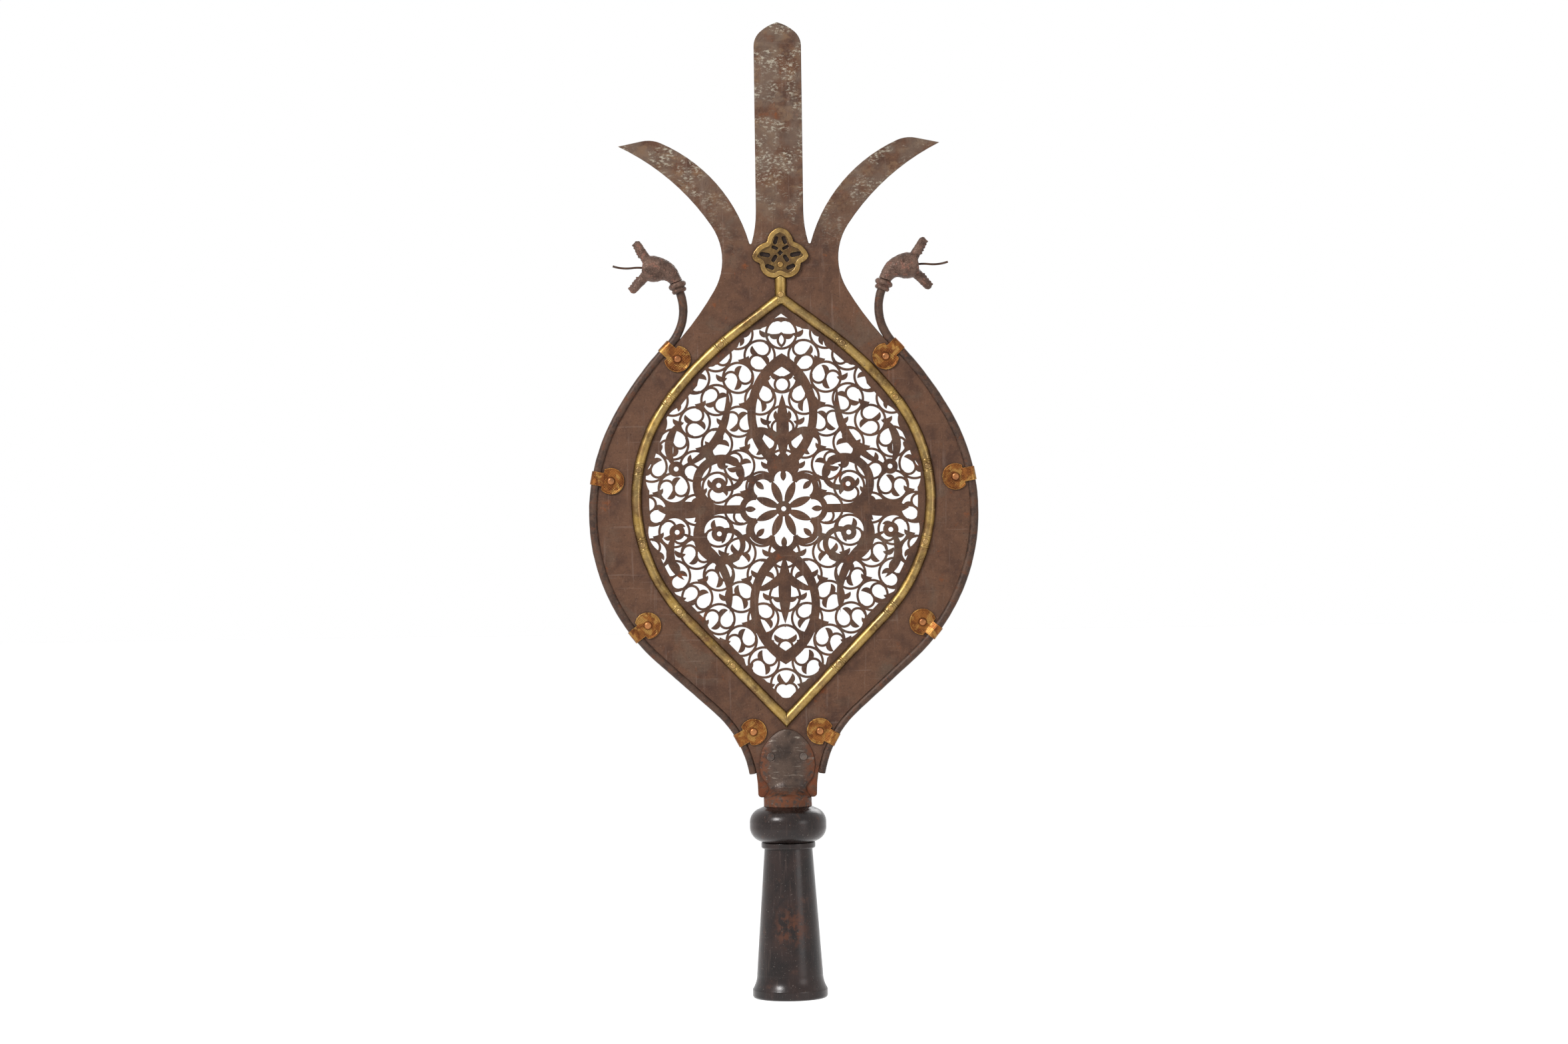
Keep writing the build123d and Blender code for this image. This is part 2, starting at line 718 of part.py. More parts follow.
# Dragon rod: along the edge of the plate, away from it at the shoulder in a curl, tapered below
with BuildLine() as rod_line:
    curl = JernArc(guide_shoulder @ 1, guide_shoulder % 1, curl_radius, -curl_turn)
    tenon = Line(curl @ 1, curl @ 1 + (curl % 1) * tenon_length)
    rod_foot = JernArc(guide_run @ 1, guide_run % 1, foot_radius - rod_offset, rod_foot_turn)
with BuildPart() as rod:
    with BuildSketch(stand(guide_belly, 1)):
        Circle(rod_radius)
    sweep(path=lift([guide_belly, guide_side, guide_shoulder, curl, tenon], 0))
    with BuildSketch(stand(guide_run, 0)):
        Circle(rod_radius)
    with BuildSketch(stand(guide_run, 1)):
        Circle(rod_end_radius)
    loft()
    with BuildSketch(stand(rod_foot, 0)):
        Circle(rod_end_radius)
    sweep(path=lift([rod_foot], 0))
    with BuildSketch(front_plane):
        add(pear.sketch_local)
        offset(amount=fit)
    extrude(amount=face + fit, both=True, mode=Mode.SUBTRACT)

# Collar on the neck of the rod: a small bead and a large one
collar_plane = stand(tenon, 0)
collar_section = Plane(origin=collar_plane.origin, x_dir=collar_plane.x_dir, z_dir=-collar_plane.y_dir)
small_bead = collar_length * (1 - collar_bead_share)
with BuildPart() as collar:
    with BuildSketch(collar_section):
        with BuildLine():
            hole = rod_radius + fit
            foot_point = (collar_groove_radius, 0)
            groove_point = (collar_groove_radius, small_bead)
            end_point = (collar_groove_radius, collar_length)
            ThreePointArc(foot_point, (collar_small_radius, small_bead / 2), groove_point)
            ThreePointArc(groove_point, (collar_radius, (small_bead + collar_length) / 2), end_point)
            Polyline(end_point, (hole, collar_length), (hole, 0), foot_point)
        make_face()
    revolve(axis=Axis(collar_plane.origin, collar_plane.z_dir))

# Dragon head: a bent egg, a mouth with two jaws, teeth and eyes
head_start = tenon @ (collar_length / tenon_length)
with BuildLine() as head_line:
    nape = JernArc(head_start, curl % 1, neck_bend_radius, -neck_bend_turn)
    snout = Line(nape @ 1, nape @ 1 + (nape % 1) * snout_length)
spine = head_line.wires()[0]
mouth = snout @ 1
mouth_heading = snout % 1
head_sections = ((0.0, 5.8), (0.18, 6.4), (0.38, 8.4), (0.58, 10.4), (0.8, 10.8), (1.0, 8.6))
with BuildPart() as head:
    for share, radius in head_sections:
        with BuildSketch(stand(spine, share)):
            Circle(radius)
    loft()
    for hand in (-1, 1):
        up = mouth_heading.rotate(Axis.Z, 90 * hand)
        along = mouth_heading.rotate(Axis.Z, jaw_spread * hand)
        root = mouth - mouth_heading * jaw_root_back + up * jaw_root_spread
        jaw_plane = Plane(origin=in_front(root, 0), x_dir=in_front(along, 0), z_dir=(0, -1, 0))
        with BuildSketch(jaw_plane):
            with BuildLine():
                tip_start = jaw_length - jaw_tip_radius
                Polyline((jaw_length, 0), (0, 0), (0, jaw_root_radius), (tip_start, jaw_tip_radius))
                JernArc((tip_start, jaw_tip_radius), (1, 0), jaw_tip_radius, -90)
            make_face()
        revolve(axis=Axis(jaw_plane.origin, jaw_plane.x_dir))
        inward = along.rotate(Axis.Z, -90 * hand)
        for tooth in range(teeth_per_jaw):
            reach = jaw_length * (0.35 + 0.55 * tooth / (teeth_per_jaw - 1))
            width = jaw_root_radius + (jaw_tip_radius - jaw_root_radius) * reach / tip_start
            with Locations(in_front(root + along * reach + inward * width, 0)):
                Sphere(tooth_radius)
    eye_point = spine @ 0.6 + mouth_heading.rotate(Axis.Z, 90) * head_eye_rise
    with Locations(in_front(eye_point, head_eye_reach), in_front(eye_point, -head_eye_reach)):
        Sphere(head_eye_radius)
    with BuildSketch(collar_plane.offset(collar_length)):
        Circle(rod_radius + fit)
    extrude(amount=tenon_length - collar_length + fit, mode=Mode.SUBTRACT)
    with BuildSketch(stand(snout, 1)):
        Circle(tongue_radius + fit)
    extrude(amount=-tongue_root - fit, mode=Mode.SUBTRACT)

# Tongue: a wavy wire set in the mouth
with BuildLine() as tongue_line:
    tongue_pin = Line(mouth - mouth_heading * tongue_root, mouth)
    tongue_dip = JernArc(mouth, mouth_heading, tongue_bend_radius, -tongue_bend_turn)
    tongue_lift = JernArc(tongue_dip @ 1, tongue_dip % 1, tongue_bend_radius, 2 * tongue_bend_turn)
with BuildPart() as tongue:
    with BuildSketch(stand(tongue_pin, 0)):
        Circle(tongue_radius)
    sweep(path=lift([tongue_pin, tongue_dip, tongue_lift], 0))

for name, piece in (("rod", rod), ("collar", collar), ("head", head), ("tongue", tongue)):
    with BuildPart() as left_piece:
        mirror(piece.part, about=Plane.YZ)
    save(f"dragon_{name}_right", piece.part)
    save(f"dragon_{name}_left", left_piece.part)

# Socket fork: a neck, a shank that goes down through the knop, and two leaf cheeks on the plate
leaf_sections = (
    (0.0, 0.82, 18.2), (0.06, 0.74, 14.0), (0.12, 0.68, 9.8), (0.18, 0.71, 7.4),
    (0.27, 0.88, 5.9), (0.38, 0.98, 5.3), (0.50, 1.0, 4.9), (0.62, 0.96, 4.5),
    (0.74, 0.85, 4.0), (0.84, 0.68, 3.5), (0.93, 0.45, 2.9), (1.0, 0.12, 2.2),
)
shank_low = socket_length - web_thickness - washer_thickness
leaf_seat = 3.0
with BuildPart() as cheek:
    for share, width, depth in leaf_sections:
        with BuildSketch(Plane.XY.offset(neck_top + share * leaf_height)):
            half = width * leaf_half_width
            rim = -face - leaf_edge
            with BuildLine():
                ThreePointArc((-half, rim), (0, -face - depth), (half, rim))
                Polyline((half, rim), (half, -face), (-half, -face), (-half, rim))
            make_face()
    loft()
    with BuildSketch(front_plane.offset(face)):
        with Locations(*leaf_rivet_spots):
            Circle(rivet_radius + fit)
    extrude(amount=neck_radius, mode=Mode.SUBTRACT)
    with BuildSketch(front_plane.offset(face + leaf_seat)):
        with Locations(*leaf_rivet_spots):
            Circle(rivet_head_radius + fit)
    extrude(amount=neck_radius, mode=Mode.SUBTRACT)
with BuildPart() as fork:
    with BuildSketch(Plane.XY.offset(knop_top)):
        Circle(neck_radius)
    extrude(amount=neck_length)
    add(cheek.part)
    mirror(cheek.part, about=Plane.XZ)
    with BuildSketch(Plane.XY.offset(shank_low)):
        Circle(shank_radius)
    extrude(amount=knop_top - shank_low)
    with BuildSketch(Plane.XZ):
        with BuildLine():
            peen_low = shank_low - peen_rise
            peen_ball = (peen_radius ** 2 + peen_rise ** 2) / (2 * peen_rise)
            Polyline((peen_radius, shank_low), (0, shank_low), (0, peen_low))
            RadiusArc((0, peen_low), (peen_radius, shank_low), -peen_ball)
        make_face()
    revolve(axis=Axis.Z)
save("socket_fork", fork.part)
fork_grip = sheet + 2 * leaf_seat
with BuildPart() as fork_rivets:
    for spot in leaf_rivet_spots:
        add(rivet(front_plane, *spot, fork_grip, rivet_radius, rivet_head_radius, leaf_rivet_rise))
save("fork_rivets", fork_rivets.part)

# Turned pieces of the socket, each drawn as a half section
shank_hole = shank_radius + fit
with BuildPart() as knop:
    with BuildSketch(Plane.XZ):
        with BuildLine():
            middle_height = ring_top + knop_length / 2 - knop_sag
            flat_low = middle_height - knop_flat / 2
            flat = Line((knop_radius, flat_low), (knop_radius, flat_low + knop_flat))
            crown = JernArc(flat @ 1, (0, 1), knop_round, knop_round_turn)
            skirt = JernArc(flat @ 0, (0, -1), knop_round, -knop_round_turn)
            Polyline(crown @ 1, (neck_radius, knop_top), (shank_hole, knop_top), (shank_hole, ring_top),
                     (ring_radius, ring_top), skirt @ 1)
        make_face()
    revolve(axis=Axis.Z)
save("socket_knop", knop.part)

with BuildPart() as ring:
    with BuildSketch(Plane.XY.offset(socket_length)):
        Circle(ring_radius)
        Circle(shank_hole, mode=Mode.SUBTRACT)
    extrude(amount=ring_length)
    fillet(ring.edges().filter_by(GeomType.CIRCLE).sort_by(SortBy.RADIUS)[-2:], ring_round)
save("knop_ring", ring.part)

with BuildPart() as washer:
    with BuildSketch(Plane.XY.offset(shank_low)):
        Circle(washer_radius)
        Circle(shank_hole, mode=Mode.SUBTRACT)
    extrude(amount=washer_thickness)
save("peen_washer", washer.part)

web_low = socket_length - web_thickness
with BuildPart() as tube:
    with BuildSketch(Plane.XZ):
        with BuildLine():
            Polyline((mouth_rim_radius, mouth_rim_height), (mouth_rim_radius, 0), (bore_radius, 0),
                     (bore_radius, bore_length), (hollow_top_radius, web_low), (shank_hole, web_low),
                     (shank_hole, socket_length), (socket_top_radius, socket_length),
                     (socket_radius, flare_top))
            RadiusArc((socket_radius, flare_top), (mouth_rim_radius, mouth_rim_height), -mouth_flare_radius)
        make_face()
        rim_corner = vertices().filter_by(lambda v: abs(v.X - mouth_rim_radius) < 0.01)
        fillet(rim_corner, mouth_rim_round)
    revolve(axis=Axis.Z)
save("socket_tube", tube.part)
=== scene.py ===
import json
import math

import bpy
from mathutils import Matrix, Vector, noise


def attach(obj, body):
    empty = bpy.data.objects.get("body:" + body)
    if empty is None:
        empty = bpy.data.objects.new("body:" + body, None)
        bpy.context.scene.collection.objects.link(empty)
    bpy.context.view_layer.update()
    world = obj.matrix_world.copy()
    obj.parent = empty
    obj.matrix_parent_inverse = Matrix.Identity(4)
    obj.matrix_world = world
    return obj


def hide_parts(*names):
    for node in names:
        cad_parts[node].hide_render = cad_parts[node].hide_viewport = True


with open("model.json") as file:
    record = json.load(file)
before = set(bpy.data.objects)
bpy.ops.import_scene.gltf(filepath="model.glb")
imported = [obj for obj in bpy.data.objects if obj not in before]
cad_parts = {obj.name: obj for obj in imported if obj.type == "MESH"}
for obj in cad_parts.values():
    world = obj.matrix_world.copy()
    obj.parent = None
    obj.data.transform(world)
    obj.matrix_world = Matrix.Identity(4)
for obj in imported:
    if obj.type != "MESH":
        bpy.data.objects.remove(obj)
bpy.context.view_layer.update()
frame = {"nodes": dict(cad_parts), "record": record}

nodes = frame["nodes"]
MM = 0.001

# Places on the object in millimetres, each pair from where a finish starts to change to where it is whole
BOSS_HEIGHT = 615.0
BLADE_AND_HORNS = (600, 700)
LUG = (178, 205)
LEAF_TIP = (206, 218)
LEAF_FOOT = (160, 172)
LEAF_SIDES = (11, 21)
NECK = (166, 176)
MOULDING_FOOT = (1.6, 4.0)
MOULDING_CREST = (4.2, 5.1)
BOSS_RECESS = (3.3, 4.3)

# Where cloudy patches start and where they are whole, on a scale from 0 to 1
BROAD_PATCHES = (0.36, 0.66)
PATCHES = (0.36, 0.64)

EDGE_SAMPLES = 6


def tint(red, green, blue):
    """A colour as it is seen, 0 to 255, as the linear colour that a shader takes."""
    linear = [v / 12.92 if v <= 0.04045 else ((v + 0.055) / 1.055) ** 2.4
              for v in (red / 255, green / 255, blue / 255)]
    return (*linear, 1.0)


class Signal:
    """A number that changes over the surface. Arithmetic on it adds maths nodes."""

    def __init__(self, finish, socket):
        self.finish = finish
        self.socket = socket

    def maths(self, operation, first, second=None, clamp=False):
        settings = {"operation": operation, "use_clamp": clamp}
        sockets = {0: first} if second is None else {0: first, 1: second}
        return self.finish.node("ShaderNodeMath", settings, sockets)

    def __add__(self, other):
        return self.maths("ADD", self, other)

    def __radd__(self, other):
        return self.maths("ADD", other, self)

    def __sub__(self, other):
        return self.maths("SUBTRACT", self, other)

    def __rsub__(self, other):
        return self.maths("SUBTRACT", other, self)

    def __mul__(self, other):
        return self.maths("MULTIPLY", self, other)

    def __rmul__(self, other):
        return self.maths("MULTIPLY", other, self)

    def __abs__(self):
        return self.maths("ABSOLUTE", self)

    def held(self):
        """Kept between 0 and 1."""
        return self.maths("ADD", self, 0.0, clamp=True)

    def rise(self, low, high):
        """0 below low, 1 above high, smooth between."""
        settings = {"interpolation_type": "SMOOTHSTEP"}
        sockets = {"Value": self, "From Min": low, "From Max": high}
        return self.finish.node("ShaderNodeMapRange", settings, sockets)

    def fall(self, low, high):
        """1 below low, 0 above high, smooth between."""
        return 1.0 - self.rise(low, high)


class Finish:
    """One finish of the metalwork: a material, and the nodes that colour and roughen it."""

    def __init__(self, name):
        self.material = bpy.data.materials.new(name)
        self.material.use_nodes = True
        self.tree = self.material.node_tree
        self.surface = self.tree.nodes["Principled BSDF"]
        place = self.node("ShaderNodeTexCoord", out="Object")
        scaled = {0: place, "Scale": 1 / MM}
        self.place = self.node("ShaderNodeVectorMath", {"operation": "SCALE"}, scaled)
        self.x = self.node("ShaderNodeSeparateXYZ", {}, {0: self.place}, out=0)
        self.y = self.node("ShaderNodeSeparateXYZ", {}, {0: self.place}, out=1)
        self.z = self.node("ShaderNodeSeparateXYZ", {}, {0: self.place}, out=2)

    def node(self, kind, settings=None, sockets=None, out=0):
        """A new node, with its settings made first and then its sockets set or linked."""
        made = self.tree.nodes.new(kind)
        for name, value in (settings or {}).items():
            setattr(made, name, value)
        for name, value in (sockets or {}).items():
            self.feed(made.inputs[name], value)
        return Signal(self, made.outputs[out])

    def feed(self, socket, value):
        """Links a signal to a socket, or sets a plain value on it."""
        if isinstance(value, Signal):
            self.tree.links.new(value.socket, socket)
        else:
            socket.default_value = value

    def stretched(self, stretch, lean=0.0):
        """The place in millimetres, drawn out along an axis and leaned in the front plane."""
        sockets = {"Vector": self.place, "Scale": stretch, "Rotation": (0, math.radians(lean), 0)}
        return self.node("ShaderNodeMapping", {}, sockets)

    def cloud(self, size, detail=4.0, roughness=0.55, stretch=None, lean=0.0, warp=0.0):
        """Cloudy patches about size millimetres across, 0 to 1 around a half."""
        place = self.place if stretch is None else self.stretched(stretch, lean)
        sockets = {"Vector": place, "Scale": 1 / size, "Detail": detail, "Roughness": roughness,
                   "Distortion": warp}
        return self.node("ShaderNodeTexNoise", {}, sockets)

    def cells(self, size, feature="F1"):
        """Distance to scattered points about size millimetres apart, or to the lines between them."""
        sockets = {"Vector": self.place, "Scale": 1 / size}
        return self.node("ShaderNodeTexVoronoi", {"feature": feature}, sockets, out="Distance")

    def lines(self, pitch, lean):
        """Parallel lines, pitch millimetres apart, leaned in the front plane."""
        sockets = {"Vector": self.stretched((1, 1, 1), lean), "Scale": math.pi / (10 * pitch)}
        return self.node("ShaderNodeTexWave", {"bands_direction": "X"}, sockets, out="Fac")

    def edges(self, radius):
        """0 on open faces, rising at sharp edges and corners."""
        rounded = self.node("ShaderNodeBevel", {"samples": EDGE_SAMPLES}, {"Radius": radius * MM})
        plain = self.node("ShaderNodeNewGeometry", out="Normal")
        dot = {"operation": "DOT_PRODUCT"}
        return 1.0 - self.node("ShaderNodeVectorMath", dot, {0: rounded, 1: plain}, out="Value")

    def hollows(self, reach):
        """0 in the open, 1 deep in a corner."""
        settings = {"samples": EDGE_SAMPLES}
        sockets = {"Distance": reach * MM}
        return 1.0 - self.node("ShaderNodeAmbientOcclusion", settings, sockets, out="AO")

    def mix(self, first, second, share):
        """One colour turning into another."""
        sockets = {0: share, 6: first, 7: second}
        return self.node("ShaderNodeMix", {"data_type": "RGBA"}, sockets, out=2)

    def apply(self, colour, roughness, metallic, gloss, height=None, depth=0.2, coat=0.0,
              coat_roughness=0.2):
        """Gives the surface its colour and shine, and a relief as deep as depth, in millimetres."""
        sockets = self.surface.inputs
        self.feed(sockets["Base Color"], colour)
        self.feed(sockets["Roughness"], roughness)
        sockets["Metallic"].default_value = metallic
        sockets["Specular IOR Level"].default_value = gloss
        sockets["Coat Weight"].default_value = coat
        sockets["Coat Roughness"].default_value = coat_roughness
        if height is not None:
            relief = {"Height": height, "Distance": depth * MM, "Strength": 1.0}
            self.feed(sockets["Normal"], self.node("ShaderNodeBump", {}, relief))
        return self.material


def aged_steel(name, base, dark, warm, speckled):
    """Brown hand-forged sheet: soft mottling, pits, rust stains and fine scratches."""
    paler = [value * 1.13 for value in base]
    cool_brown = tint(98, 84, 71)
    pit_brown = tint(58, 42, 36)
    rubbed_grain = tint(146, 116, 100)
    scratch_grey = tint(150, 128, 116)
    corner_grime_and_shade = tint(38, 28, 25)
    pale_edge = tint(156, 134, 118)

    steel = Finish(name)
    broad = steel.cloud(46, detail=3, warp=0.4).rise(*BROAD_PATCHES)
    middling = steel.cloud(11, detail=5, roughness=0.62).rise(0.34, 0.68)
    fine = steel.cloud(1.6, detail=4, roughness=0.7)
    colour = steel.mix(tint(*dark), tint(*base), broad)
    colour = steel.mix(colour, tint(*paler), middling * 0.75)
    cool = steel.cloud(30, detail=4, warp=0.8).rise(0.52, 0.70)
    colour = steel.mix(colour, cool_brown, cool * 0.45)
    colour = steel.mix(colour, pit_brown, fine.fall(0.30, 0.47) * 0.55)
    colour = steel.mix(colour, rubbed_grain, fine.rise(0.56, 0.74) * 0.35)
    stain = steel.cloud(20, detail=6, roughness=0.7).rise(0.58, 0.70)
    rust = stain * steel.cloud(3, detail=4).rise(0.40, 0.62)
    colour = steel.mix(colour, tint(*warm), rust * 0.8)
    upright = steel.cloud(3.2, detail=3, stretch=(1, 1, 0.06), lean=9).rise(0.60, 0.72)
    level = steel.cloud(2.6, detail=3, stretch=(0.05, 1, 1), lean=-14).rise(0.63, 0.74)
    scratch = (upright * 0.6 + level * 0.6).held()
    colour = steel.mix(colour, scratch_grey, scratch * 0.28)
    roughness = 0.50 + 0.16 * fine + 0.10 * rust - 0.06 * scratch
    if speckled:
        colour, roughness = blade_and_lug(steel, colour, roughness)
    # Grime and painted shade: darker in corners and beside raised parts
    grime_and_shade = steel.hollows(5.0).rise(0.10, 0.75)
    colour = steel.mix(colour, corner_grime_and_shade, grime_and_shade * 0.75)
    # Edges rubbed paler by wear
    edge_paling = steel.edges(0.7).rise(0.04, 0.30) * steel.cloud(5, detail=4).rise(0.38, 0.60)
    colour = steel.mix(colour, pale_edge, edge_paling * 0.55)
    dents = steel.cloud(16, detail=2)
    pits = steel.cells(2.4).fall(0.05, 0.32) * steel.cloud(9).rise(0.50, 0.62)
    height = 0.9 * dents + 0.16 * fine - 0.35 * pits - 0.10 * scratch + 0.12 * rust
    return steel.apply(colour, roughness, metallic=0.3, gloss=0.3, height=height, depth=0.9)


def blade_and_lug(steel, colour, roughness):
    """Pale flecks and tan patches up on the blade and horns, rust on the lug, painted shade behind the
    boss.
    """
    tan_brown = tint(140, 110, 82)
    grey_brown = tint(110, 94, 82)
    pale_fleck = tint(186, 178, 160)
    lug_rust = tint(118, 62, 34)
    boss_shade = tint(34, 26, 23)

    high = steel.z.rise(*BLADE_AND_HORNS)
    bright = steel.cloud(26, detail=4, warp=1.0).rise(0.45, 0.60)
    fleck = steel.cloud(1.7, detail=6, roughness=0.78, stretch=(0.5, 1, 1)).rise(0.51, 0.60)
    pale = high * bright * fleck
    tan = high * steel.cloud(9, detail=5, roughness=0.7, stretch=(0.6, 1, 1)).rise(0.48, 0.62)
    colour = steel.mix(colour, tan_brown, tan * 0.5)
    grey = high * steel.cloud(18, detail=3).rise(0.40, 0.60)
    colour = steel.mix(colour, grey_brown, grey * 0.6)
    colour = steel.mix(colour, pale_fleck, pale * 0.85)
    roughness = roughness + 0.10 * pale
    low_rust = steel.z.fall(*LUG) * steel.cloud(7, detail=5).rise(0.42, 0.58)
    colour = steel.mix(colour, lug_rust, low_rust * 0.75)
    # Painted shade: dark on the plate under the boss and in its openings
    across = abs(steel.x)
    up = steel.z - BOSS_HEIGHT
    upper_lobes = (0.8 * across + abs(up)).fall(14, 17)
    lower_lobe = across.fall(12, 14) * abs(up + 10.0).fall(6, 8)
    shade_under_boss = (upper_lobes + lower_lobe).held()
    return steel.mix(colour, boss_shade, shade_under_boss * 0.85), roughness


def aged_brass(name, base, deep, bright, recess=None):
    """Old brass: olive patina, grime and painted shade in the corners, painted shade along the foot, a
    painted highlight along the crest, rubbed bright at the edges.
    """
    tarnish_brown = tint(108, 72, 42)
    spot_brown = tint(66, 47, 30)
    foot_shade_brown = tint(84, 56, 26)
    corner_grime_and_shade = tint(48, 33, 21)

    brass = Finish(name)
    patches = brass.cloud(15, detail=4, roughness=0.6).rise(*PATCHES)
    fine = brass.cloud(1.5, detail=4, roughness=0.65)
    colour = brass.mix(tint(*deep), tint(*base), patches)
    colour = brass.mix(colour, tint(*bright), fine.rise(0.54, 0.76) * 0.4)
    tarnish = brass.cloud(21, detail=5, warp=0.6).rise(0.56, 0.68)
    colour = brass.mix(colour, tarnish_brown, tarnish * 0.6)
    spots = brass.cloud(2.6, detail=3).rise(0.65, 0.72)
    colour = brass.mix(colour, spot_brown, spots * 0.7)
    # Painted shade: dark brown along the foot of the brass, next to the plate
    foot_shade = abs(brass.y).fall(*MOULDING_FOOT) * brass.cloud(8, detail=4).rise(0.20, 0.50)
    colour = brass.mix(colour, foot_shade_brown, foot_shade * 0.8)
    # Painted highlight: paler along the crest, where the brass stands highest
    crest_highlight = abs(brass.y).rise(*MOULDING_CREST) * brass.cloud(12, detail=4).rise(0.34, 0.56)
    colour = brass.mix(colour, tint(*bright), crest_highlight * 0.18)
    # Grime and painted shade in the corners, and painted shade in the sunk field of the boss
    grime_and_shade = brass.hollows(2.4).rise(0.22, 0.72)
    if recess is not None:
        recess_shade = abs(brass.y).fall(*recess) * brass.cloud(4, detail=4).rise(0.22, 0.52)
        grime_and_shade = (grime_and_shade + 0.6 * recess_shade).held()
    colour = brass.mix(colour, corner_grime_and_shade, grime_and_shade * 0.85)
    # Edges rubbed bright by wear
    edge_paling = brass.edges(0.8).rise(0.02, 0.20)
    colour = brass.mix(colour, tint(*bright), edge_paling * (1.0 - grime_and_shade) * 0.8)
    roughness = 0.26 + 0.14 * patches + 0.30 * grime_and_shade + 0.10 * spots
    height = 0.22 * brass.cloud(9, detail=2) + 0.05 * fine - 0.2 * spots
    return brass.apply(colour, roughness, metallic=0.85, gloss=0.5, height=height, depth=0.4,
                       coat=0.25, coat_roughness=0.22)


def gilt_copper():
    """Gilt copper sheet of the clips: warm, rubbed through to orange, hatched all over."""
    deep_copper = tint(96, 54, 27)
    warm_copper = tint(134, 84, 40)
    left_gilding = tint(166, 127, 68)
    pit_brown = tint(84, 47, 27)
    corner_grime_and_shade = tint(62, 32, 17)
    pale_edge = tint(236, 184, 104)

    copper = Finish("gilt_copper_sheet")
    patches = copper.cloud(6, detail=5, roughness=0.65).rise(*PATCHES)
    fine = copper.cloud(1.1, detail=4, roughness=0.7)
    colour = copper.mix(deep_copper, warm_copper, patches)
    gold = copper.cloud(9, detail=4, warp=0.8).rise(0.50, 0.62)
    colour = copper.mix(colour, left_gilding, gold * 0.65)
    colour = copper.mix(colour, pit_brown, fine.fall(0.30, 0.48) * 0.6)
    # Grime and painted shade in the corners
    grime_and_shade = copper.hollows(1.8).rise(0.08, 0.5)
    colour = copper.mix(colour, corner_grime_and_shade, grime_and_shade * 0.9)
    # Paler rims: rubbed gilding, and a painted highlight
    edge_paling = copper.edges(0.6).rise(0.015, 0.16)
    colour = copper.mix(colour, pale_edge, edge_paling * (1.0 - grime_and_shade) * 0.9)
    roughness = 0.26 + 0.20 * patches + 0.25 * grime_and_shade
    hatch = copper.lines(1.5, 45).rise(0.25, 0.75) * copper.lines(1.5, -45).rise(0.25, 0.75)
    height = 0.35 * copper.cloud(6, detail=2) + 0.10 * fine + 0.18 * hatch
    return copper.apply(colour, roughness, metallic=0.9, gloss=0.5, height=height, depth=0.35)


def rough_iron(name, base, dark, warm, scales):
    """Forged and chiselled iron, brown, with pink rust in patches."""
    pit_brown = tint(44, 33, 29)
    rubbed_grain = tint(170, 148, 134)
    corner_grime_and_shade = tint(40, 28, 24)
    pale_edge = tint(164, 140, 124)

    iron = Finish(name)
    patches = iron.cloud(7, detail=5, roughness=0.66).rise(*PATCHES)
    fine = iron.cloud(1.1, detail=4, roughness=0.7)
    colour = iron.mix(tint(*dark), tint(*base), patches)
    rust = iron.cloud(4.5, detail=5, roughness=0.7).rise(0.52, 0.66)
    colour = iron.mix(colour, tint(*warm), rust * 0.7)
    colour = iron.mix(colour, pit_brown, fine.fall(0.28, 0.46) * 0.6)
    colour = iron.mix(colour, rubbed_grain, fine.rise(0.60, 0.76) * 0.4)
    # Grime and painted shade in the corners
    grime_and_shade = iron.hollows(2.2).rise(0.20, 0.75)
    colour = iron.mix(colour, corner_grime_and_shade, grime_and_shade * 0.8)
    # Edges rubbed paler by wear
    edge_paling = iron.edges(0.6).rise(0.05, 0.30)
    colour = iron.mix(colour, pale_edge, edge_paling * 0.5)
    roughness = 0.40 + 0.18 * patches + 0.18 * rust
    height = 0.5 * iron.cloud(3.0, detail=3) + 0.2 * fine
    if scales:
        height = height - 0.3 * iron.cells(2.6, feature="DISTANCE_TO_EDGE").fall(0.0, 0.12)
    return iron.apply(colour, roughness, metallic=0.3, gloss=0.3, height=height, depth=0.55)


